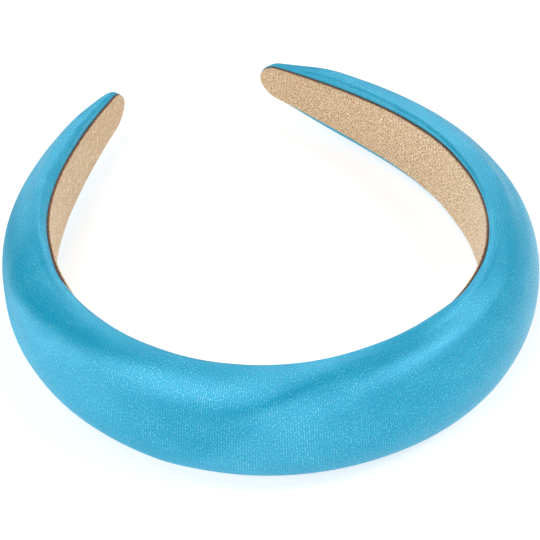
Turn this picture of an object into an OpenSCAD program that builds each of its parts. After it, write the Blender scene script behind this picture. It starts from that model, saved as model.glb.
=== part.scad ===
// Padded headband: a thick satin pad bent into an open hoop, with a suede lining on its inner face.
// It lies on its lower edge. X runs across the hoop, the crown is at -Y, the open ends at +Y, Z is up.
// The origin is on the surface that it rests on, under the middle of its outline.

/* [Hoop] */
// Widest distance between the faces of the lining
inner_w = 122; // [104:1:140]
// From the widest place forward to the lining's face at the crown
crown_depth = 59.4; // [46:0.2:74]
// From the widest place back to the ends
arm_depth = 85; // [68:1:102]
// Distance between the faces of the lining at the two ends
end_gap = 48; // [30:1:70]
// How far the ends turn towards each other, in degrees
end_turn = 36; // [20:1:45]
// How far the whole band leans in at its upper edge, in degrees
lean = 4.5; // [0:0.5:8]

/* [Pad] */
// Width of the pad at its widest
pad_w = 29.2; // [22:0.2:40]
// Thickness of the pad at the crown
pad_t = 16.8; // [9:0.2:24]
// Length over which each end is rounded off
end_round = 7; // [4:0.5:12]
// How deep the underside is pressed flat by the surface that it rests on
rest_flat = 0.9; // [0.5:0.1:1.5]
// Depth of the deepest of the soft dents in the padding
dent_depth = 1.6; // [0:0.1:2.4]

/* [Lining] */
// Width of satin that shows beside the lining at the crown
satin_border = 3.4; // [1.6:0.2:5]
// Thickness of the suede face
suede_t = 0.4; // [0.3:0.05:1]
// Thickness of the backing, whose cut edge shows as a dark line
backing_t = 0.5; // [0.3:0.05:1]
// How far the pad's ends reach past the ends of the lining
end_lip = 0.4; // [0.2:0.1:1.5]
// Gap between one layer and the next
layer_gap = 0.05; // [0.03:0.01:0.2]

/* [Hidden] */

// How the band changes from the crown to an end, in shares of the sizes above.
AT = 0;      // share of the arm's length, from the crown
WIDTH = 1;   // pad width
THICK = 2;   // pad thickness
BORDER = 3;  // satin beside the lining
taper = [
    [0.00, 0.97, 1.00, 1.05],
    [0.25, 1.00, 0.89, 0.93],
    [0.50, 0.97, 0.84, 0.93],
    [0.70, 0.90, 0.72, 1.05],
    [0.85, 0.77, 0.52, 1.00],
    [1.00, 0.39, 0.21, 0.03],
];

// Soft dents that run slantwise over the padding. Right is plus along the band, and the upper edge
// is plus round it.
PLACE = 0;   // middle of the dent along the band, as a share of an arm
ROUND = 1;   // middle of the dent round the pad, in degrees from the outermost line
LENGTH = 2;  // half length along the band, as a share of an arm
SPREAD = 3;  // half width round the pad, in degrees
SLANT = 4;   // degrees that the dent climbs over one half length
DEPTH = 5;   // share of the dent depth
dents = [
    [ 0.02, 26, 0.46, 35, 19, 1.00],
    [ 0.36, 58, 0.40, 14, 14, 0.30],
    [-0.36, 24, 0.18, 20,  4, 0.30],
    [-0.62, 60, 0.16, 14, -8, 0.20],
];

// Shape of the pad's section: where it is widest, how square it is, and the flat inner margin.
widest_share = 0.22;  // share of the thickness at which the section is widest
square_share = 0.92;  // 1 is an ellipse, and less is fuller
flat_share = 0.62;    // share of the satin border that lies flat beside the lining

// How softly the hoop turns, as shares of the length of each stretch.
crown_share = 0.66;
front_share = 0.47;
back_share = 0.18;
tip_share = 0.67;

// How finely the band is drawn.
path_count = 200;
body_count = 36;
round_count = 7;
outer_count = 10;
inner_count = 4;
last_angle = 80;

half_w = inner_w / 2;
pad_n = suede_t + backing_t + 2 * layer_gap;
end_dir = [-sin(end_turn), cos(end_turn)];
tip = [end_gap / 2, arm_depth];
chord = norm(tip - [half_w, 0]);
front_curve = [
    [0, -crown_depth],
    [crown_share * half_w, -crown_depth],
    [half_w, -front_share * crown_depth],
    [half_w, 0]
];
back_curve = [
    [half_w, 0],
    [half_w, back_share * arm_depth],
    tip - tip_share * chord * end_dir,
    tip
];

function curve_point(p, t) =
    pow(1 - t, 3) * p[0] + 3 * pow(1 - t, 2) * t * p[1] + 3 * (1 - t) * t * t * p[2] + t * t * t * p[3];
function curve_slope(p, t) =
    pow(1 - t, 2) * (p[1] - p[0]) + 2 * (1 - t) * t * (p[2] - p[1]) + t * t * (p[3] - p[2]);
function arm_point(t) = t < 1 ? curve_point(front_curve, t) : curve_point(back_curve, t - 1);
function arm_slope(t) = t < 1 ? curve_slope(front_curve, t) : curve_slope(back_curve, t - 1);

// Length of the arm up to each step of its curve, with the step.
step = 2 / path_count;
lengths = [
    for (
        i = 0, run = 0;
        i <= path_count;
        run = run + norm(arm_point((i + 1) * step) - arm_point(i * step)),
        i = i + 1
    )
        [run, i * step]
];
arm_length = lengths[path_count][0];

// A place on the band: s runs along it from the crown, plus on the right arm and minus on the left.
function middle(s) =
    let (p = arm_point(lookup(abs(s), lengths)))
    [sign(s) * p[0], p[1]];
function outward(s) =
    let (d = arm_slope(lookup(abs(s), lengths)))
    [(s < 0 ? -1 : 1) * d[1], -d[0]] / norm(d);

// A column of the taper table, joined smoothly.
rows = len(taper);
function slope_at(col, i) =
    i == 0 ? 0 :
    i == rows - 1 ? (taper[i][col] - taper[i - 1][col]) / (taper[i][AT] - taper[i - 1][AT]) :
    (taper[i + 1][col] - taper[i - 1][col]) / (taper[i + 1][AT] - taper[i - 1][AT]);
function row_at(u) = max([for (i = [0 : rows - 2]) if (i == 0 || u >= taper[i][AT]) i]);
function share(col, u) =
    let (
        i = row_at(u),
        d = taper[i + 1][AT] - taper[i][AT],
        f = (u - taper[i][AT]) / d
    )
    (1 + 2 * f) * pow(1 - f, 2) * taper[i][col] + f * f * (3 - 2 * f) * taper[i + 1][col]
    + d * f * pow(1 - f, 2) * slope_at(col, i) - d * f * f * (1 - f) * slope_at(col, i + 1);

// How much of the full section is left near a rounded end.
function end_share(s, last) =
    let (x = max(0, (abs(s) - (last - end_round)) / end_round))
    sqrt(max(0, 1 - x * x));

function pad_half(s, last) = pad_w / 2 * share(WIDTH, abs(s) / arm_length) * end_share(s, last);
function pad_thick(s, last) = pad_t * share(THICK, abs(s) / arm_length) * end_share(s, last);
function border(s, last) = satin_border * share(BORDER, abs(s) / arm_length) * end_share(s, last);
function lining_half(s, last) = pad_half(s, last) - border(s, last);

// Depth of all the dents at a place on the pad.
function bump(x) = exp(-x * x);
function dent(s, a) =
    dent_depth * sum([
        for (d = dents)
            let (
                x = (s / arm_length - d[PLACE]) / d[LENGTH],
                y = (a - d[ROUND] - d[SLANT] * x) / d[SPREAD]
            )
            d[DEPTH] * bump(x) * bump(y)
    ]);
function sum(v, i = 0) = i < len(v) ? v[i] + sum(v, i + 1) : 0;

// Sections are lists of [distance out from the hoop's middle line, height].
function outer_side(s, h, t) = [
    for (i = [-outer_count : outer_count])
        let (
            a = 90 * i / outer_count,
            out = widest_share * t + (1 - widest_share) * t * pow(cos(a), square_share),
            up = h * sign(a) * pow(abs(sin(a)), square_share),
            in = dent(s, a)
        )
        [out - in * cos(a), up - in * sin(a)]
];
function inner_edge(h, t, flat, side) = [
    for (i = [1 : inner_count])
        let (a = 90 * (side > 0 ? inner_count - i : i - 1) / inner_count)
        [widest_share * t * (1 - cos(a)), side * (flat + (h - flat) * sin(a))]
];
function pad_section(s) =
    let (
        h = pad_half(s, arm_length),
        t = pad_thick(s, arm_length),
        flat = h - (1 - flat_share) * border(s, arm_length)
    )
    concat(outer_side(s, h, t), inner_edge(h, t, flat, 1), inner_edge(h, t, flat, -1));
function strip_section(s, last, near, far) =
    let (h = lining_half(s, last))
    [[near, -h], [far, -h], [far, h], [near, h]];

// A section stood up at its place, leaning in.
rest_z = pad_w / 2 - rest_flat;
function placed(s, section, out) = [
    for (p = section)
        let (xy = middle(s) + outward(s) * (out + p[0] - p[1] * tan(lean)))
        [xy[0], xy[1], p[1] + rest_z]
];

// Places of the sections, close together round the ends.
function half_places(last) = concat(
    [for (i = [1 : body_count]) (last - end_round) * i / body_count],
    [for (i = [1 : round_count]) last - end_round * (1 - sin(last_angle * i / round_count))]
);
function places(last) =
    let (right = half_places(last))
    concat([for (i = [len(right) - 1 : -1 : 0]) -right[i]], [0], right);

pad_places = places(arm_length);
pad_rings = [for (s = pad_places) placed(s, pad_section(s), pad_n)];
front_y = min([for (r = pad_rings) for (p = r) p[1]]);
back_y = max([for (r = pad_rings) for (p = r) p[1]]);
centre_y = (front_y + back_y) / 2;

// Skin over a row of rings, closed at both ends.
module skin(rings) {
    n = len(rings[0]);
    m = len(rings);
    points = [for (r = rings) for (p = r) [p[0], p[1] - centre_y, p[2]]];
    sides = [
        for (i = [0 : m - 2]) for (j = [0 : n - 1])
            let (a = i * n + j, b = i * n + (j + 1) % n)
            each [[a, b, b + n], [a, b + n, a + n]]
    ];
    first = [for (j = [n - 1 : -1 : 0]) j];
    last = [for (j = [0 : n - 1]) (m - 1) * n + j];
    polyhedron(points, concat(sides, [first, last]));
}

// What the surface below takes away where it presses the pad flat.
module ground() {
    translate([-inner_w, -2 * inner_w, -pad_w]) cube([2 * inner_w, 4 * inner_w, pad_w]);
}

module satin_pad() {
    color([0.29, 0.70, 0.84])
    difference() {
        skin(pad_rings);
        ground();
    }
}

module strip(near, thick) {
    last = arm_length - end_lip;
    rings = [for (s = places(last)) placed(s, strip_section(s, last, 0, thick), near)];
    skin(rings);
}

module suede_lining() {
    color([0.82, 0.71, 0.59]) strip(0, suede_t);
}

module lining_backing() {
    color([0.36, 0.24, 0.18]) strip(suede_t + layer_gap, backing_t);
}

satin_pad();
lining_backing();
suede_lining();
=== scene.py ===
# %% [markdown]
# A padded headband in turquoise satin. The real thing is a narrow stiff band bent into an open hoop. A thick
# pad of foam lies on its outer face, satin is pulled over both and glued down inside, and a strip of suede
# covers the glued edges. Only the satin, the suede and the cut edge of the suede's backing show.
# The CAD model gives the frame: its three solids are loaded first, and each one is then replaced by a piece
# with real cloth on it, of the same size and in the same place.

# %% Load the frame
import math

import bpy
import numpy as np
from mathutils import Matrix, Vector


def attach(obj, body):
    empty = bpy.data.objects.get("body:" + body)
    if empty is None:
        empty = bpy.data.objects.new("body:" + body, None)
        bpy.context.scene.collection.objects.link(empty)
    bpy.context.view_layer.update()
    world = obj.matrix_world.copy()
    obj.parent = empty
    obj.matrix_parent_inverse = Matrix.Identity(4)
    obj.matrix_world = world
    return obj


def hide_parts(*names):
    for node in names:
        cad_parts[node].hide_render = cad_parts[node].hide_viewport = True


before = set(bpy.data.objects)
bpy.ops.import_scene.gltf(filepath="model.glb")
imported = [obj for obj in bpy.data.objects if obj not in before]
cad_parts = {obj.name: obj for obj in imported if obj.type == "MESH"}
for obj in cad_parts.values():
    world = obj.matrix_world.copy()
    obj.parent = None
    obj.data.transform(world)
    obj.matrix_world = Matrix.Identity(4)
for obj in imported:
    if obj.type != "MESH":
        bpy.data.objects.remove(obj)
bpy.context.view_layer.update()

# %% [markdown]
# Blender counts in metres, and this object is best thought of in millimetres, so each size is written as so
# many MM. These are the sizes that drive everything: the hoop, the pad and the layers of the lining.

# %% Sizes
MM = 0.001

inner_w = 122 * MM  # widest distance between the faces of the lining
crown_depth = 59.4 * MM  # from the widest place forward to the lining at the crown
arm_depth = 85 * MM  # from the widest place back to the ends
end_gap = 48 * MM  # between the two ends
end_turn = math.radians(36)  # how far the ends turn towards each other
lean = math.radians(4.5)  # how far the band leans in at its upper edge

pad_w = 29.2 * MM  # width of the pad at its widest
pad_t = 16.8 * MM  # thickness of the pad at the crown
end_round = 7 * MM  # length over which each end is rounded off
rest_flat = 0.9 * MM  # how deep the underside is pressed flat
dent_depth = 1.6 * MM  # depth of the deepest of the soft dents

satin_border = 3.4 * MM  # satin that shows beside the lining
suede_t = 0.4 * MM  # thickness of the suede
backing_t = 0.5 * MM  # thickness of its backing
end_lip = 0.4 * MM  # how far the pad's ends reach past those of the lining
layer_gap = 0.05 * MM  # between one layer and the next

pad_n = suede_t + backing_t + 2 * layer_gap  # from the lining's face out to the pad
rest_z = pad_w / 2 - rest_flat  # height of the band's middle
print("The pad starts", round(pad_n / MM, 2), "mm outside the lining's face")

# %% [markdown]
# The hoop. Seen from above, the inner face of the lining is one smooth line that is the same on both sides.
# It could be drawn by hand as a curve object, but two short curves per arm say the same with four control
# points each. The first and last points are on the line, and the two between them pull it their way.

# %% The hoop's curves
crown_share, front_share, back_share, tip_share = 0.66, 0.47, 0.18, 0.67  # how softly each stretch turns
half_w = inner_w / 2
tip = np.array([end_gap / 2, arm_depth])
end_dir = np.array([-math.sin(end_turn), math.cos(end_turn)])
chord = np.linalg.norm(tip - [half_w, 0])
front_curve = np.array([
    [0, -crown_depth],
    [crown_share * half_w, -crown_depth],
    [half_w, -front_share * crown_depth],
    [half_w, 0],
])
back_curve = np.array([
    [half_w, 0],
    [half_w, back_share * arm_depth],
    tip - tip_share * chord * end_dir,
    tip,
])


def curve(points, t):
    """Places on a curve with four control points, and its slope there."""
    t = t[:, None]
    a, b, c, d = points
    place = (1 - t) ** 3 * a + 3 * (1 - t) ** 2 * t * b + 3 * (1 - t) * t**2 * c + t**3 * d
    slope = (1 - t) ** 2 * (b - a) + 2 * (1 - t) * t * (c - b) + t**2 * (d - c)
    return place, slope


CURVE_STEPS = 1200
steps = np.linspace(0, 1, CURVE_STEPS)
front, back = curve(front_curve, steps), curve(back_curve, steps)
arm = np.vstack([front[0], back[0][1:]])
arm_slope = np.vstack([front[1], back[1][1:]])
arm_slope /= np.linalg.norm(arm_slope, axis=1)[:, None]
print("The arm is drawn with", len(arm), "points")

# %% [markdown]
# Two questions are asked of the hoop from here on: where is the band, and which way is outward, after so many
# millimetres of its length? The points above aren't evenly spaced, so the distance so far is added up from
# point to point, and an answer is then read between the two nearest points. The left arm mirrors the right.

# %% Places along the hoop
arm_run = np.concatenate([[0], np.cumsum(np.linalg.norm(np.diff(arm, axis=0), axis=1))])
arm_length = arm_run[-1]


def along_arm(s, table):
    """A column pair of the arm's table at distance s from the crown."""
    return np.stack([np.interp(np.abs(s), arm_run, table[:, k]) for k in (0, 1)], -1)


def middle(s):
    """The hoop's line at s, which is plus on the right arm and minus on the left."""
    p = along_arm(s, arm)
    p[..., 0] *= np.sign(s)
    return p


def outward(s):
    """The direction out of the hoop at s."""
    d = along_arm(s, arm_slope)
    return np.stack([np.where(s < 0, -1, 1) * d[..., 1], -d[..., 0]], -1)


print("One arm is", round(arm_length / MM, 1), "mm long")

# %% [markdown]
# How the band changes along an arm. A tailor would say: nearly full width from the crown to over the ears,
# and from there ever narrower and thinner. The table says it in shares of the named sizes, and a smooth curve
# through the rows fills in the rest. Each end is then rounded off, by a share that falls as a circle does.

# %% How the band tapers
AT, WIDTH, THICK, BORDER = range(4)  # share of the arm's length, pad width, pad thickness, satin border
taper = np.array([
    [0.00, 0.97, 1.00, 1.05],
    [0.25, 1.00, 0.89, 0.93],
    [0.50, 0.97, 0.84, 0.93],
    [0.70, 0.90, 0.72, 1.05],
    [0.85, 0.77, 0.52, 1.00],
    [1.00, 0.39, 0.21, 0.03],
])


def share(column, u):
    """A column of the taper table at share u of the arm, joined smoothly from row to row."""
    at, value = taper[:, AT], taper[:, column]
    slope = np.empty(len(at))
    slope[0] = 0
    slope[1:-1] = (value[2:] - value[:-2]) / (at[2:] - at[:-2])
    slope[-1] = (value[-1] - value[-2]) / (at[-1] - at[-2])
    i = np.clip(np.searchsorted(at, u, side="right") - 1, 0, len(at) - 2)
    d = at[i + 1] - at[i]
    f = (u - at[i]) / d
    return (
        (1 + 2 * f) * (1 - f) ** 2 * value[i] + f**2 * (3 - 2 * f) * value[i + 1]
        + d * f * (1 - f) ** 2 * slope[i] - d * f**2 * (1 - f) * slope[i + 1]
    )


def end_share(s, last):
    """What is left of the full section near an end that is rounded off at distance last."""
    x = np.clip((np.abs(s) - (last - end_round)) / end_round, 0, 1)
    return np.sqrt(1 - x**2)


def sizes_at(s, last):
    """Half width, thickness and satin border of the pad at s."""
    u, left = np.abs(s) / arm_length, end_share(s, last)
    return (
        pad_w / 2 * share(WIDTH, u) * left,
        pad_t * share(THICK, u) * left,
        satin_border * share(BORDER, u) * left,
    )


shown_widths = pad_w * share(WIDTH, np.array([0, 0.5, 1]))
print("Pad width at the crown, half way and at an end, in mm:", (shown_widths / MM).round(1))

# %% [markdown]
# The pad isn't a perfect tube. Foam gives where it was pressed, so soft hollows run slantwise over it. They
# could be pushed in by hand with a soft brush, but the CAD solid has the same four and reads them from a
# table, so this one holds the same rows: a long, soft, slanting dent each.

# %% Soft dents in the padding
PLACE, ROUND, LENGTH, SPREAD, SLANT, DEPTH = range(6)  # in shares of an arm, degrees and shares of the depth
dents = np.array([
    [0.02, 26, 0.46, 35, 19, 1.00],
    [0.36, 58, 0.40, 14, 14, 0.30],
    [-0.36, 24, 0.18, 20, 4, 0.30],
    [-0.62, 60, 0.16, 14, -8, 0.20],
])


def dent(s, angle):
    """Depth of all the dents at s along the band and angle round it, in degrees."""
    total = np.zeros(np.broadcast(s, angle).shape)
    for row in dents:
        x = (s / arm_length - row[PLACE]) / row[LENGTH]
        y = (angle - row[ROUND] - row[SLANT] * x) / row[SPREAD]
        total += dent_depth * row[DEPTH] * np.exp(-x**2 - y**2)
    return total


print(len(dents), "soft dents, the deepest", round(dent_depth * dents[:, DEPTH].max() / MM, 1), "mm deep")

# %% [markdown]
# One section of the pad, cut across the band. It is flat where the lining lies on it, turns over the edge of
# the stiff core in a small radius, and then swells out over the foam. A grid of such sections is a mesh whose
# rows and columns follow the cloth, so the thread directions are known at every point. That is what a satin
# needs, and it is why the cover is built as a grid and not carved out of a lump.

# %% The pad's section
widest_share, square_share = 0.22, 0.92  # where the section is widest, and how full it is: 1 is an ellipse
OUTER_STEPS, EDGE_STEPS, FLAT_STEPS, HIDDEN_STEPS = 96, 16, 12, 3

# Share of the satin border that lies flat beside the lining: the left arm rolls over at once.
margin_at = [-0.45, -0.36, -0.25, 0.13, 0.19, 0.30, 0.45]
margin_share = [0.05, 0.40, 0.62, 0.62, 0.25, 0.30, 0.66]

# How much lower the pad's upper edge is: on the left arm the satin hardly rises past the lining.
drop_at = [-0.95, -0.85, -0.72, -0.48, -0.40, -0.34]
edge_drop = np.array([0, 0.8, 1.6, 1.7, 0.7, 0]) * MM


def pad_grid(s):
    """For each s, a ring of [out, up] round the section. It starts behind the middle of the lining."""
    h, t, b = (x[:, None] for x in sizes_at(s, arm_length))
    flat = h - (1 - np.interp(s[:, None] / arm_length, margin_at, margin_share)) * b
    lining = h - b
    top = h - np.interp(s[:, None] / arm_length, drop_at, edge_drop)
    a = np.radians(np.linspace(-90, 90, OUTER_STEPS + 1))[None]
    across, rise = np.clip(np.cos(a), 0, 1), np.sin(a)
    dip = dent(s[:, None], np.degrees(a))
    outer = np.stack([
        widest_share * t + (1 - widest_share) * t * across**square_share - dip * across,
        np.where(rise > 0, top, h) * np.sign(rise) * np.abs(rise) ** square_share - dip * rise,
    ], -1)
    e = np.radians(np.linspace(90, 0, EDGE_STEPS + 1)[1:])[None]
    f = np.linspace(0, 1, FLAT_STEPS + 1)[None, 1:]
    margin = np.stack([0 * f * h, flat + (lining - flat) * f], -1)
    k = np.linspace(1, 0, HIDDEN_STEPS + 2)[None, 1:-1]
    hidden = np.stack([0 * k * h, lining * k], -1)

    def inner_side(edge_h):
        edge = np.stack([widest_share * t * (1 - np.cos(e)), flat + (edge_h - flat) * np.sin(e)], -1)
        return np.concatenate([edge, margin, hidden], 1)

    upper = inner_side(top)
    lower = inner_side(h)[:, ::-1] * [1, -1]
    start = np.zeros((len(s), 1, 2))
    return np.concatenate([start, lower, outer, upper], 1)


RING = 1 + 2 * (EDGE_STEPS + FLAT_STEPS + HIDDEN_STEPS) + OUTER_STEPS + 1
LOWER_LINING = 1 + HIDDEN_STEPS  # the ring's points at the lining's two edges
UPPER_LINING = RING - 1 - HIDDEN_STEPS
print("Points round one section:", RING)

# %% [markdown]
# Each section is stood up at its place on the hoop and leans in a little. Its lowest part is pressed flat by
# what the band lies on, and not with a sharp rim: the cloth rolls into the flat softly.

# %% Standing the sections up
PRESS_SOFT = 0.25 * MM  # how soon the cloth starts to roll into the flat


def stand(s, section, out):
    """Sections, given as [out, up], in the hoop, with their inner faces at distance out from its line."""
    place, away = middle(s)[:, None], outward(s)[:, None]
    n = out + section[..., 0] - section[..., 1] * math.tan(lean)
    return np.concatenate([place + away * n[..., None], section[..., 1:] + rest_z], -1)


def press(points):
    """Rolls what lies under the floor softly up to it."""
    z = points[..., 2]
    points[..., 2] = (z + np.sqrt(z**2 + PRESS_SOFT**2)) / 2
    return points


ALONG_STEPS, TIP_STEPS, TIP_ANGLE = 380, 26, 87


def places(last):
    """Distances of the sections along both arms, close together where the ends are rounded."""
    body = np.linspace(0, last - end_round, ALONG_STEPS // 2 + 1)[1:]
    bend = np.radians(np.linspace(0, TIP_ANGLE, TIP_STEPS + 1)[1:])
    right = np.concatenate([body, last - end_round * (1 - np.sin(bend))])
    return np.concatenate([-right[::-1], [0], right])


s_rows = places(arm_length)
base = stand(s_rows, pad_grid(s_rows), pad_n)
front_y, back_y = base[..., 1].min(), base[..., 1].max()
centre_y = (front_y + back_y) / 2
base[..., 1] -= centre_y
print("The middle of the outline is", round(centre_y / MM, 2), "mm behind the widest place")

# %% [markdown]
# The light and dark patches of the satin come from swells and hollows of less than a millimetre, finer than
# the dents. And where the pad narrows towards its ends faster than the cloth can follow, the satin is
# gathered into short folds across the band. They could be sculpted by hand, but a table can be read and
# changed: one row says where a form is, how far it reaches both ways, how it slants and how much it rises.

# %% Swells and gathers
# Middle along the arm and round the pad, half length, half width, slant, and rise, which is plus outward.
# The first and third are shares of an arm, the rise is in mm, and the others are in degrees.
swells = np.array([
    [-0.642, 89, 0.274, 13, 30, 0.53],
    [-0.458, 8, 0.060, 17, -24, -0.20],
    [-0.456, 43, 0.134, 29, -38, 0.60],
    [-0.440, 15, 0.168, 34, -32, 0.05],
    [-0.439, 85, 0.160, 15, 9, -0.40],
    [-0.423, 70, 0.082, 13, 5, -0.52],
    [-0.423, -6, 0.135, 13, -31, -0.24],
    [-0.412, -6, 0.168, 27, -18, -0.18],
    [-0.399, 40, 0.079, 23, 20, -0.54],
    [-0.378, -8, 0.060, 13, -4, 0.23],
    [-0.371, -17, 0.114, 31, -25, -0.16],
    [-0.349, 6, 0.063, 18, 33, -0.24],
    [-0.345, -11, 0.074, 13, -5, 0.18],
    [-0.272, 39, 0.060, 40, -29, 0.35],
    [-0.197, 13, 0.060, 50, -40, -0.26],
    [-0.171, 75, 0.126, 16, 37, -0.38],
    [-0.164, -7, 0.060, 16, 37, 0.34],
    [-0.114, 51, 0.077, 13, 27, 0.41],
    [0.001, 30, 0.060, 15, 17, -0.27],
    [0.005, 10, 0.060, 13, 9, -0.19],
    [0.027, 22, 0.060, 15, 8, -0.38],
    [0.170, 87, 0.352, 15, -29, -0.60],
    [0.246, 121, 0.400, 52, 19, 0.60],
    [0.257, 82, 0.169, 19, 17, -0.60],
    [0.661, 95, 0.319, 15, -1, -0.60],
])
gathers = np.array([
    [-0.966, 92, 0.022, 20, -10, 0.34],
    [-0.922, 94, 0.018, 14, -14, -0.40],
    [-0.897, 98, 0.015, 12, -14, 0.27],
    [-0.872, 93, 0.016, 12, -12, -0.34],
    [-0.838, 98, 0.025, 14, -12, 0.24],
    [-0.909, 96, 0.024, 5, -17, -0.21],
    [0.860, 72, 0.050, 24, 0, 0.45],
    [0.960, 120, 0.020, 12, 30, -0.16],
])
print(len(swells), "swells and", len(gathers), "gathers")

# %% [markdown]
# No cloth is drawn perfectly tight, so a very slight unevenness runs all over. It is made from random heights
# at the corners of a coarse grid, joined by smooth hills. A seed fixes the random numbers, so that the same
# headband comes out each time.


# %% Random hills
def smooth_noise(rng, shape, cells):
    """Soft random hills on a grid of that shape, with cells hills along each side."""
    coarse = rng.normal(size=(cells[0] + 3, cells[1] + 3))
    out = np.zeros(shape)
    x = np.linspace(0, cells[0], shape[0], endpoint=False)[:, None]
    y = np.linspace(0, cells[1], shape[1], endpoint=False)[None]
    i, j = x.astype(int), y.astype(int)

    def weights(f):
        return [
            (1 - f) ** 3 / 6,
            (3 * f**3 - 6 * f**2 + 4) / 6,
            (-3 * f**3 + 3 * f**2 + 3 * f + 1) / 6,
            f**3 / 6,
        ]

    for a, wa in enumerate(weights(x - i)):
        for b, wb in enumerate(weights(y - j)):
            out += wa * wb * coarse[i + a, j + b]
    return out


UNEVENNESS = [(0.045 * MM, (34, 7)), (0.02 * MM, (90, 16))]  # height, and how many hills along and round
rng = np.random.default_rng(7)
loose = sum(height * smooth_noise(rng, base.shape[:2], cells) for height, cells in UNEVENNESS)
print("The cloth is uneven by up to", round(np.abs(loose).max() / MM, 2), "mm")

# %% [markdown]
# A form is asked for by where a point lies on the cloth: how far along the arm it is, at what angle round the
# pad, and how far from the lining's two edges. And it moves the point along the surface's own normal, so it
# keeps its depth wherever it lies.

# %% Measuring on the cloth
TINY = 1e-12  # keeps a division by zero away


def normals_of(points):
    """Outward unit normals of a grid whose second axis runs round a ring."""
    ds = np.gradient(points, axis=0)
    da = np.roll(points, -1, 1) - np.roll(points, 1, 1)
    n = np.cross(ds, da)
    n /= np.maximum(np.linalg.norm(n, axis=-1, keepdims=True), TINY)
    out = points - points.mean(1, keepdims=True)
    return n if (n * out).sum() > 0 else -n


def round_run(points):
    """Distance round the ring from its first point."""
    step = np.linalg.norm(np.diff(points, axis=1), axis=2)
    return np.concatenate([np.zeros((len(points), 1)), np.cumsum(step, 1)], 1)


girth = round_run(base)
from_upper = girth[:, [UPPER_LINING]] - girth
from_lower = girth - girth[:, [LOWER_LINING]]
u_rows = s_rows[:, None] / arm_length
INNER_STEPS = FLAT_STEPS + EDGE_STEPS
ring_angle = np.interp(
    np.arange(RING),
    [0, LOWER_LINING, LOWER_LINING + INNER_STEPS, UPPER_LINING - INNER_STEPS, UPPER_LINING, RING],
    [-180, -150, -90, 90, 150, 180],
)[None]
print("Round the pad it is up to", round(girth.max() / MM, 1), "mm")

# %% [markdown]
# The hem. Beside the lining the satin is drawn over the edge of the stiff core. That makes a small raised rim
# and, where the cloth leaves the core, a narrow crease. Both are strongest on the right arm, and half as
# strong at the lower edge.

# %% Rim and crease
RIM_NEAR, RIM_SLOPE, RIM_HEIGHT = 0.35 * MM, 0.22 * MM, 0.16 * MM
RIM_STOP = 0.25 * MM  # the rim ends this much before the crease
CREASE_PAST, CREASE_WIDTH, CREASE_DEPTH = 0.15 * MM, 0.13 * MM, 0.24 * MM  # past the flat margin
LOWER_SHARE = 0.5
rim_at = [-1.0, -0.85, -0.45, -0.10, 0.25, 0.45, 0.90, 1.0]
rim_share = [0.0, 0.0, 0.0, 0.10, 0.35, 1.00, 1.00, 0.2]

margin_width = np.interp(u_rows, margin_at, margin_share) * sizes_at(s_rows, arm_length)[2][:, None]
crease = margin_width + CREASE_PAST


def hill(x, middle_x, width):
    """A smooth hill, 1 at its middle and soon 0 past its width."""
    return np.exp(-(((x - middle_x) / width) ** 2))


def rim(distance):
    """Height of the raised rim, less the crease, at a distance from the lining's edge."""
    far = crease - RIM_STOP
    raised = np.tanh((distance - RIM_NEAR) / RIM_SLOPE) - np.tanh((distance - far) / RIM_SLOPE)
    return RIM_HEIGHT * raised / 2 - CREASE_DEPTH * hill(distance, crease, CREASE_WIDTH)


strength = np.interp(u_rows, rim_at, rim_share)
relief = strength * rim(from_upper) + LOWER_SHARE * strength * rim(from_lower)
print("The crease lies", round(crease.max() / MM, 1), "mm from the lining at most")

# %% [markdown]
# The lining holds the satin down, so no swell reaches it: they all fade out over the last millimetre. The
# lining's upper edge isn't quite where the taper puts it. It is cut a little high in some places and a little
# low in others, so the distance is taken from the real cut.

# %% Where the satin is free
HIGH_CUT_AT = [-0.50, -0.47, -0.44, -0.415, -0.25, -0.20, 0.12, 0.18, 0.29, 0.38, 0.46]
HIGH_CUT = np.array([0, 0.3, 0.1, -0.9, -0.9, 0, 0, 1.3, 1.3, 0.5, 0]) * MM  # plus is further up
HEM_NEAR, HEM_WIDTH = 0.35 * MM, 1.0 * MM
TIGHT_WIDTH = 2 * MM  # the unevenness fades over this much


def fade_in(distance, near, width):
    """0 up to near, 1 from near + width on, and a straight rise between them."""
    return np.clip((distance - near) / width, 0, 1)


past_upper = from_upper - np.interp(u_rows, HIGH_CUT_AT, HIGH_CUT)
free = fade_in(past_upper, HEM_NEAR, HEM_WIDTH) * fade_in(from_lower, HEM_NEAR, HEM_WIDTH)
free = free**2 * (3 - 2 * free)  # the same rise with soft ends
tight = fade_in(from_upper, 0, TIGHT_WIDTH) * fade_in(from_lower, 0, TIGHT_WIDTH)
print("Share of the grid that can swell:", round(float(free.mean()), 2))

# %% [markdown]
# Now all the forms are added up and the cover is moved by them at once. A Displace modifier could do the same
# with a texture, but it would need one painted first, and the numbers are here already.

# %% Moving the cover
END_FADE = 1.5  # the relief dies out over the last part of each rounded end

for place, turn, length, spread, slant, rise in np.vstack([swells, gathers]):
    x = (u_rows - place) / length
    relief += rise * MM * np.exp(-x**2) * hill(ring_angle, turn + slant * x, spread) * free
relief += loose * tight
relief *= np.clip(end_share(s_rows, arm_length)[:, None] * END_FADE, 0, 1)
cover = press(base + normals_of(base) * relief[..., None])
print("Relief from", round(relief.min() / MM, 2), "to", round(relief.max() / MM, 2), "mm")

# %% [markdown]
# The grid becomes a mesh: one face between each two neighbours along the band and round it, and a fan of
# triangles that closes each end. Its UV map unrolls the cloth at its real size, one unit for each
# centimetre, U along the band and V round it, so that the weave can be drawn to scale later.

# %% From a grid to a mesh
CM = 0.01


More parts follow.
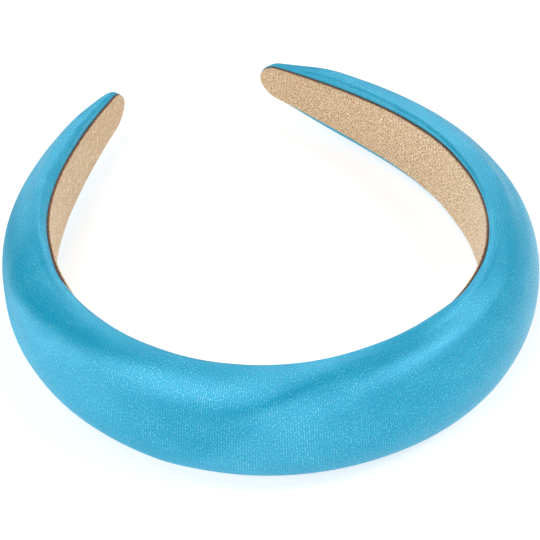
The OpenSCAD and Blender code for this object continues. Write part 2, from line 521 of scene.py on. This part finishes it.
def ring_mesh(name, points, uv):
    """A closed tube from rings of points, its ends closed by fans, with a UV map of the unrolled cloth."""
    rows, ring = points.shape[:2]
    ends = points[[0, -1]].mean(1)
    verts = np.concatenate([points.reshape(-1, 3), ends])
    faces, corners = [], []
    wide_uv = np.concatenate([uv, uv[:, -1:] + (uv[:, -1:] - uv[:, -2:-1])], 1)
    for i in range(rows - 1):
        for j in range(ring):
            k = (j + 1) % ring
            faces.append((i * ring + j, (i + 1) * ring + j, (i + 1) * ring + k, i * ring + k))
            corners += [wide_uv[i, j], wide_uv[i + 1, j], wide_uv[i + 1, j + 1], wide_uv[i, j + 1]]
    for row, pole, order in ((0, rows * ring, 1), (rows - 1, rows * ring + 1, -1)):
        pole_uv = wide_uv[row].mean(0)
        for j in range(ring):
            k = (j + 1) % ring
            faces.append((pole, *(row * ring + j, row * ring + k)[::order]))
            corners += [pole_uv, *(wide_uv[row, j], wide_uv[row, j + 1])[::order]]
    mesh = bpy.data.meshes.new(name)
    mesh.from_pydata(verts.tolist(), [], faces)
    layer = mesh.uv_layers.new(name="cloth")
    layer.uv.foreach_set("vector", np.array(corners, np.float32).ravel())
    mesh.polygons.foreach_set("use_smooth", np.ones(len(faces), bool))
    mesh.update()
    piece = bpy.data.objects.new(name, mesh)
    bpy.context.scene.collection.objects.link(piece)
    a, b, c = (verts[[face[k] for face in faces]] for k in range(3))
    if np.einsum("ij,ij->i", a, np.cross(b, c)).sum() < 0:  # the volume has this sum's sign
        mesh.flip_normals()
    print(name, "has", len(faces), "faces")
    return piece


def cloth_uv(points, s, zero_column):
    """U is the distance along the band and V the distance round it, in centimetres."""
    v = round_run(points)
    v = v - v[:, [zero_column]]
    return np.stack([np.repeat(s[:, None], v.shape[1], 1), v], -1) / CM


satin_cover = ring_mesh("satin_cover", cover, cloth_uv(cover, s_rows, RING // 2))

# %% [markdown]
# The lining is a strip of suede on a thin brown backing, both cut with the same knife and glued on last. A
# strip of this kind could be a flat plane with a Solidify modifier. Its cut edges are what the eye catches
# here, though, so each strip is a thin closed tube with softly rounded corners and a cut line that wavers a
# little, as a hand-cut strip does. The backing shows a little past the suede.

# %% The lining's cut line
WAVER = 0.10 * MM
WAVES = 70  # of the wavering, from end to end
LOW_CUT_AT, LOW_CUT = [0.3, 0.45, 0.8, 0.95], [0, 1.05 * MM, 0.95 * MM, 0.10 * MM]
last_strip = arm_length - end_lip
strip_rows = places(last_strip)
waver_rng = np.random.default_rng(11)
cut_line = WAVER * smooth_noise(waver_rng, (len(strip_rows), 2), (WAVES, 1))  # the upper and the lower edge
cut_line[:, 1] -= np.interp(strip_rows / arm_length, LOW_CUT_AT, LOW_CUT)
high_cut = np.interp(strip_rows / arm_length, HIGH_CUT_AT, HIGH_CUT)[:, None]
print("The lower edge is cut up to", round(-cut_line[:, 1].min() / MM, 1), "mm lower")

# %% [markdown]
# Both strips come from one function, since they differ only in where they lie, how thick they are and how
# closely they keep to the cut line.

# %% Lining and backing
CORNER_STEPS, FACE_STEPS = 4, 22
THINNEST = 0.02 * MM  # half width that is left at the very ends
CORNER_SHARE = 0.9  # a corner takes this share of the half width at most
SUEDE_CORNER, BACKING_CORNER = 0.16 * MM, 0.08 * MM
SUEDE_SWELL = 0.05 * MM  # the suede is this much fuller along its middle
SUEDE_HIGH = 0.6  # share of the high cut that the suede keeps to
BACKING_REACH = 0.25 * MM  # how much of the backing shows past the suede


def strip(name, near, thick, corner, swell=0.0, reach=0.0, high=1.0):
    """A flat strip from near to near + thick outside the hoop's line, with rounded long edges."""
    h, _, b = sizes_at(strip_rows, last_strip)
    half = np.maximum(h - b, THINNEST)[:, None]
    r = np.minimum(corner, half * CORNER_SHARE)
    w = np.linspace(-1, 1, FACE_STEPS + 1)[None]
    bend = np.radians(np.linspace(0, 90, CORNER_STEPS + 1))[None]
    flat = half - r
    inner_face = np.stack([-swell * (1 - w**4) + 0 * half, flat * w], -1)
    upper_corner = np.stack([r * (1 - np.cos(bend)), flat + r * np.sin(bend)], -1)
    back_face = np.stack([thick + 0 * half * w, -half * w], -1)
    lower_corner = upper_corner[:, ::-1] * [1, -1]
    section = np.concatenate([inner_face, upper_corner[:, 1:], back_face, lower_corner[:, :-1]], 1)
    upper_cut = cut_line[:, :1] + high * high_cut + reach
    lower_cut = cut_line[:, 1:] - reach
    wander = np.where(section[..., 1] > 0, upper_cut, lower_cut)
    near_edge = (np.abs(section[..., 1]) / half) ** 3  # 1 at the edges, and soon 0 towards the middle
    section[..., 1] += wander * near_edge * end_share(strip_rows, last_strip)[:, None]
    points = stand(strip_rows, section, near)
    points[..., 1] -= centre_y
    return ring_mesh(name, points, cloth_uv(points, strip_rows, FACE_STEPS // 2)), half


suede_face, suede_half = strip("suede_face", 0, suede_t, SUEDE_CORNER, swell=SUEDE_SWELL, high=SUEDE_HIGH)
backing_edge, _ = strip("backing_edge", suede_t + layer_gap, backing_t, BACKING_CORNER, reach=BACKING_REACH)
print("Suede strip:", round(2 * suede_half.max() / MM, 1), "by", round(2 * last_strip / MM, 1), "mm")

# %% [markdown]
# A material is a small network of nodes, and the same few steps come back in each: add a node, join two, set
# plain numbers on the shader, and let a fine relief catch the light. They are written once here.


# %% Helpers for nodes
def new_material(name):
    """A material with nothing but a Principled shader, and that shader."""
    material = bpy.data.materials.new(name)
    material.use_nodes = True
    nodes = material.node_tree.nodes
    nodes.clear()
    output = nodes.new("ShaderNodeOutputMaterial")
    shader = nodes.new("ShaderNodeBsdfPrincipled")
    material.node_tree.links.new(shader.outputs["BSDF"], output.inputs["Surface"])
    return material, shader


def link(material, source, target):
    material.node_tree.links.new(source, target)


def add(material, kind, settings=(), **inputs):
    """Adds a node. Settings are its own properties, and inputs are numbers or sockets for its inputs."""
    node = material.node_tree.nodes.new(kind)
    for key, value in dict(settings).items():
        setattr(node, key, value)
    for key, value in inputs.items():
        socket = node.inputs[int(key[1:])] if key[1:].isdigit() else node.inputs[key.replace("_", " ")]
        if isinstance(value, bpy.types.NodeSocket):
            link(material, value, socket)
        else:
            socket.default_value = value
    return node


def set_plain(shader, **values):
    """Sets what is the same all over the surface on the shader's own sockets."""
    for key, value in values.items():
        shader.inputs[key.replace("_", " ")].default_value = value


def bump(material, shader, height, strength, depth):
    """A relief too fine for the mesh, from a grey value."""
    node = add(material, "ShaderNodeBump", Height=height, Strength=strength, Distance=depth)
    link(material, node.outputs["Normal"], shader.inputs["Normal"])


# %% [markdown]
# Patterns. Everything on cloth is drawn in its UV map, in centimetres, so it follows the cloth round each
# bend. A grain is a noise with so many spots for each centimetre along and across, threads are soft bands,
# and a ramp turns the grey value of a pattern into colours.

# %% Helpers for patterns
WAVE_PERIOD = math.tau / 20  # length of one band of the Wave texture at scale 1


def scaled_uv(material, scale=(1, 1)):
    """The cloth's UV map, with scale units for each centimetre along and across."""
    uv = add(material, "ShaderNodeUVMap", {"uv_map": "cloth"})
    return add(material, "ShaderNodeMapping", Vector=uv.outputs["UV"], Scale=(*scale, 1)).outputs["Vector"]


def maths(material, operation, a, b=0.0):
    """One step of arithmetic on two values."""
    return add(material, "ShaderNodeMath", {"operation": operation}, _0=a, _1=b).outputs[0]


def mix(material, *parts):
    """The sum of values, given as (value, share)."""
    total = 0.0
    for value, share_of_it in parts:
        total = maths(material, "ADD", total, maths(material, "MULTIPLY", value, share_of_it))
    return total


def noise(material, scale, detail=2.0, roughness=0.5):
    """Soft random spots, scale of them for each centimetre along and across."""
    node = add(
        material, "ShaderNodeTexNoise", {"noise_dimensions": "2D"},
        Vector=scaled_uv(material, scale), Scale=1.0, Detail=detail, Roughness=roughness,
    )
    return node.outputs[0]


def bands(material, period, distortion):
    """Soft lines across U, one for each period in centimetres."""
    node = add(
        material, "ShaderNodeTexWave", {"wave_type": "BANDS", "bands_direction": "X"},
        Vector=scaled_uv(material), Scale=WAVE_PERIOD / period, Distortion=distortion,
        Detail=2.0, Detail_Scale=3.0,
    )
    return node.outputs["Fac"]


def grey(value):
    return (value, value, value)


def ramp(material, value, stops):
    """Colours laid along a factor: stops are (place, colour)."""
    node = add(material, "ShaderNodeValToRGB", _0=value)
    elements = node.color_ramp.elements
    while len(elements) < len(stops):
        elements.new(0.5)
    for element, (place, colour) in zip(elements, stops):
        element.position = place
        element.color = (*colour, 1)
    return node.outputs["Color"]


def map_range(material, value, start, end, low, high):
    """Low up to start, high from end on, and a straight line between them."""
    node = add(
        material, "ShaderNodeMapRange", Value=value,
        From_Min=start, From_Max=end, To_Min=low, To_Max=high,
    )
    return node.outputs["Result"]


# %% [markdown]
# Satin. Its gloss comes from long silky threads that lie side by side. A thread mirrors light in a narrow way
# along its length and in a wide way across it, so a highlight on satin is a soft streak and not a spot. The
# Principled shader calls this anisotropy: a tangent tells it which way the threads lie, here from the UV map.
# The threads also sparkle a little, and this sparkle is painted into the colour: the palest grains are a
# whitish painted glint, much paler than the rest. An image of real satin could give all this, but nodes stay
# sharp at any size and need no file.

# %% Satin
SATIN_DEEP = (0.000, 0.314, 0.547)
SATIN_MID = (0.000, 0.405, 0.651)
SATIN_PALE = (0.008, 0.513, 0.747)
# painted highlight: the whitish colour of the palest grains stands in for the glints of the threads
SATIN_PAINTED_GLINT = (0.260, 0.700, 0.870)
SATIN_GRAIN, SATIN_DASHES, SATIN_PATCHES = (42, 26), (20, 16), (1.1, 1.6)  # spots for each centimetre
THREAD_PERIOD = 0.050  # centimetres from one thread to the next
ROUGH, SMOOTH = grey(0.56), grey(0.32)  # gloss of the dull and of the bright grains
THREAD_TURN = 0.183  # of a full turn, from the band's own direction to the one that the gloss follows
SATIN_BUMP = 0.1 * MM


def satin_material():
    material, shader = new_material("turquoise_satin")
    grain = noise(material, SATIN_GRAIN, roughness=0.6)
    dashes = noise(material, SATIN_DASHES)
    patches = noise(material, SATIN_PATCHES)
    threads = maths(material, "MULTIPLY", bands(material, THREAD_PERIOD, distortion=0.8), dashes)
    tone = mix(material, (grain, 0.80), (threads, 0.24), (patches, 0.12), (1.0, -0.02))
    # the top stop of this ramp is painted glint, paler than the satin's own colour
    colour = ramp(
        material, tone, [(0.36, SATIN_DEEP), (0.5, SATIN_MID), (0.62, SATIN_PALE), (0.72, SATIN_PAINTED_GLINT)],
    )
    link(material, colour, shader.inputs["Base Color"])
    weave = mix(material, (grain, 1.0), (threads, 0.35))
    bump(material, shader, weave, strength=0.45, depth=SATIN_BUMP)
    tangent = add(material, "ShaderNodeTangent", {"direction_type": "UV_MAP", "uv_map": "cloth"})
    link(material, tangent.outputs["Tangent"], shader.inputs["Tangent"])
    link(material, ramp(material, grain, [(0.36, ROUGH), (0.64, SMOOTH)]), shader.inputs["Roughness"])
    set_plain(
        shader, Metallic=0.25, IOR=1.49, Specular_IOR_Level=1.0,
        Anisotropic=0.935, Anisotropic_Rotation=THREAD_TURN,
    )
    return material


satin_cover.data.materials.append(satin_material())
print("Satin:", len(satin_cover.active_material.node_tree.nodes), "nodes")

# %% [markdown]
# Suede. Its nap is a dense, short pile that lies this way and that, so it is blotchy from near and even from
# afar, and it hardly shines. A fine grain carries the tone, with larger clumps and patches under it and a few
# dark flecks where the pile parts. It is more even on the left arm and darker towards the ends. Real hairs
# would be far too small to see here, so a bump of the same grain stands for them.

# %% Suede
SUEDE_FLECK = (0.34, 0.185, 0.080)
SUEDE_DARK = (0.620, 0.430, 0.257)
SUEDE_MID = (0.810, 0.613, 0.405)
SUEDE_PALE = (0.945, 0.775, 0.552)
BLACK, WHITE = grey(0), grey(1)
SUEDE_NAP, SUEDE_SPECKS, SUEDE_CLUMPS, SUEDE_PATCHES = (23, 23), (18, 18), (6, 5), (1.3, 1.9)
WORN_END, WORN_START = -14.0, 4.0  # centimetres from the crown, minus on the left arm
ENDS_START, ENDS_FULL = 9.0, 17.0  # centimetres from the crown on both arms
SUEDE_BUMP = 0.09 * MM


def suede_material():
    material, shader = new_material("tan_suede")
    nap = noise(material, SUEDE_NAP, detail=3.0, roughness=0.6)
    specks = noise(material, SUEDE_SPECKS, roughness=0.6)
    clumps = noise(material, SUEDE_CLUMPS)
    patches = noise(material, SUEDE_PATCHES)
    along = add(material, "ShaderNodeSeparateXYZ", Vector=scaled_uv(material)).outputs["X"]
    worn = map_range(material, along, WORN_END, WORN_START, 0.55, 1.0)
    ends = map_range(material, maths(material, "ABSOLUTE", along), ENDS_START, ENDS_FULL, -0.15, 1.0)
    even = maths(material, "MULTIPLY", maths(material, "SUBTRACT", nap, 0.5), worn)
    tone = mix(
        material,
        (even, 1.15), (patches, 0.22), (clumps, 0.28), (1.0, 0.29), (worn, -0.03), (ends, -0.10),
    )
    colour = ramp(material, tone, [(0.40, SUEDE_DARK), (0.5, SUEDE_MID), (0.60, SUEDE_PALE)])
    parting = mix(material, (specks, 0.85), (patches, 0.15))
    fleck = ramp(material, parting, [(0.53, BLACK), (0.61, WHITE)])
    blend = add(
        material, "ShaderNodeMix", {"data_type": "RGBA"},
        _0=maths(material, "MULTIPLY", fleck, worn), _6=colour, _7=(*SUEDE_FLECK, 1),
    )
    link(material, blend.outputs[2], shader.inputs["Base Color"])
    pile = mix(material, (nap, 1.0), (specks, -0.6))
    bump(material, shader, pile, strength=1.0, depth=SUEDE_BUMP)
    set_plain(shader, Roughness=0.95, Specular_IOR_Level=0.15, Sheen_Weight=0.2, Sheen_Roughness=0.5)
    return material


suede_face.data.materials.append(suede_material())
print("Suede:", len(suede_face.active_material.node_tree.nodes), "nodes")

# %% [markdown]
# The backing shows only as a thin dark line, the cut edge of a matt brown cloth. Painting a line on the satin
# would look flat, so it is a piece of its own, and one noise gives it all that can be seen of it: an uneven
# brown and a rough surface.

# %% Backing
BACKING_DARK, BACKING_PALE = (0.15, 0.058, 0.030), (0.31, 0.130, 0.068)
BACKING_GRAIN, BACKING_BUMP = (12, 12), 0.1 * MM


def backing_material():
    material, shader = new_material("brown_backing")
    grain = noise(material, BACKING_GRAIN, detail=4.0)
    colour = ramp(material, grain, [(0.35, BACKING_DARK), (0.65, BACKING_PALE)])
    link(material, colour, shader.inputs["Base Color"])
    bump(material, shader, grain, strength=0.5, depth=BACKING_BUMP)
    set_plain(shader, Roughness=0.8)
    return material


backing_edge.data.materials.append(backing_material())
print("Backing:", len(backing_edge.active_material.node_tree.nodes), "nodes")

# %% [markdown]
# The band lies on a plain pale floor, a large plane just under it. A floor that is only lit shows dark
# shadows and turns grey far from the lamps. This one also gives light of its own, which nothing shades, so
# the shadow beside the band stays faint and the rest is white.

# %% Floor
FLOOR_SIZE = 40  # metres
FLOOR_DROP = 0.01 * MM  # how far it lies under the band
FLOOR_COLOUR, FLOOR_GLOW = 0.42, 0.7

bpy.ops.object.select_all(action="DESELECT")
bpy.ops.mesh.primitive_plane_add(size=FLOOR_SIZE, location=(0, 0, -FLOOR_DROP))
floor = bpy.context.object
floor.name = "floor"
floor_material, floor_shader = new_material("pale_floor")
set_plain(
    floor_shader, Base_Color=(*grey(FLOOR_COLOUR), 1), Roughness=0.8,
    Emission_Color=(1, 1, 1, 1), Emission_Strength=FLOOR_GLOW,
)
floor.data.materials.append(floor_material)
print("The floor is", FLOOR_SIZE, "m wide")

# %% [markdown]
# Soft studio light. The world around could be one even pale colour, but satin then has nothing to mirror. So
# it is only a faint low wall round the floor, which fades out upward.

# %% Wall
WALL_TOP, WALL_FADE, WALL_STRENGTH = 25, 6, 0.16  # the first two in degrees of elevation

world = bpy.data.worlds.new("studio")
bpy.context.scene.world = world
world.use_nodes = True
sky = world.node_tree.nodes["Background"]
where = add(world, "ShaderNodeTexCoord").outputs["Generated"]
height = add(world, "ShaderNodeSeparateXYZ", Vector=where).outputs["Z"]
fade_from = math.sin(math.radians(WALL_TOP - WALL_FADE))
fade_to = math.sin(math.radians(WALL_TOP + WALL_FADE))
link(world, map_range(world, height, fade_from, fade_to, WALL_STRENGTH, 0), sky.inputs["Strength"])
sky.inputs["Color"].default_value = (1, 1, 1, 1)
print("The wall fades out", WALL_TOP, "degrees up")

# %% [markdown]
# The main light is a set of square soft boxes all round, at one distance. Each one's mirror image lies as a
# pale streak on the satin, wide or narrow as the box is, and the dark gaps between them draw the swells. One
# large lamp would be quicker to set up, but it leaves the satin plain.


# %% Soft boxes
def direction(azimuth, elevation):
    """Unit vector to a place seen from the object: azimuth 0 is the front, and plus is to the right."""
    a, e = math.radians(azimuth), math.radians(elevation)
    return Vector((math.sin(a) * math.cos(e), -math.cos(a) * math.cos(e), math.sin(e)))


LAMP_DISTANCE = 1.2  # metres


def softbox(name, azimuth, elevation, size, power):
    """A square lamp that faces the object."""
    data = bpy.data.lights.new(name, "AREA")
    data.shape = "RECTANGLE"
    data.size, data.size_y = size, size
    data.energy = power
    lamp = bpy.data.objects.new(name, data)
    bpy.context.scene.collection.objects.link(lamp)
    away = direction(azimuth, elevation)
    lamp.location = away * LAMP_DISTANCE
    lamp.rotation_euler = away.to_track_quat("Z", "Y").to_euler()


# Azimuth and elevation in degrees, width in metres and power in watts.
softboxes = [
    ("front_spot", -8, 12, 0.12, 1.36),
    ("front_low", 2, 6, 0.30, 0.83),
    ("left_low", -95, 6, 0.50, 2.54),
    ("left_spot", -105, 12, 0.12, 0.82),
    ("back_left_low", -165, 6, 0.50, 2.66),
    ("back_right", 140, 20, 0.30, 0.99),
    ("right_low", 65, 12, 0.50, 0.66),
    ("right_front", 67, 51, 0.30, 3.83),
    ("right_high", 87, 51, 0.50, 2.59),
    ("left_high", -51, 43, 0.30, 1.80),
    ("left_high_spot", -61, 51, 0.12, 1.79),
    ("left_front_spot", -41, 51, 0.12, 0.99),
    ("left_top", -85, 77, 0.30, 1.19),
    ("left_top_wide", -95, 69, 0.50, 1.16),
    ("left_top_spot", -85, 69, 0.12, 1.06),
    ("back_box", 163, 33, 0.30, 1.32),
    ("back_spot", 173, 41, 0.12, 0.93),
]
for row in softboxes:
    softbox(*row)
print(len(softboxes), "soft boxes,", round(sum(row[-1] for row in softboxes), 1), "watts in all")

# %% [markdown]
# The camera stands in front, a little to the left, and looks down on the band as one would on a table. It is
# near, so the crown looks larger than the ends. It is placed by the point that it looks at, the direction
# back from there and a distance, which are easier to judge than coordinates. The Standard view shows colours
# as they are, so white stays white.

# %% Camera
CAMERA_AZIMUTH, CAMERA_ELEVATION, CAMERA_ROLL = -17.75, 42.44, -0.605
CAMERA_DISTANCE = 285.5 * MM
CAMERA_TARGET = Vector((-3.67 * MM, -11.62 * MM - centre_y, rest_z))
SENSOR_WIDTH = 36  # in the millimetres of the camera's own settings
FOCAL_SHARE = 1.8930  # focal length in widths of the picture
NEAREST, FARTHEST = 0.01, 20  # what the camera sees, in metres

camera_data = bpy.data.cameras.new("camera")
camera_data.sensor_width = SENSOR_WIDTH
camera_data.lens = FOCAL_SHARE * camera_data.sensor_width
camera_data.clip_start, camera_data.clip_end = NEAREST, FARTHEST
camera = bpy.data.objects.new("camera", camera_data)
bpy.context.scene.collection.objects.link(camera)
view_back = direction(CAMERA_AZIMUTH, CAMERA_ELEVATION)
camera.location = CAMERA_TARGET + view_back * CAMERA_DISTANCE
roll = Matrix.Rotation(math.radians(CAMERA_ROLL), 3, view_back)
camera.rotation_mode = "QUATERNION"
camera.rotation_quaternion = (roll @ view_back.to_track_quat("Z", "Y").to_matrix()).to_quaternion()
bpy.context.scene.camera = camera
bpy.context.scene.view_settings.view_transform = "Standard"
print("Camera at", [round(x / MM) for x in camera.location], "mm")

# %% [markdown]
# Each piece now takes the place of its CAD solid, which is hidden, and moves with the root body.

# %% Tie the pieces to the frame
for piece, node, slot in (
    (satin_cover, "satin_pad", "satin"),
    (backing_edge, "lining_backing", "backing"),
    (suede_face, "suede_lining", "suede"),
):
    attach(piece, "root")
    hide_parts(node)
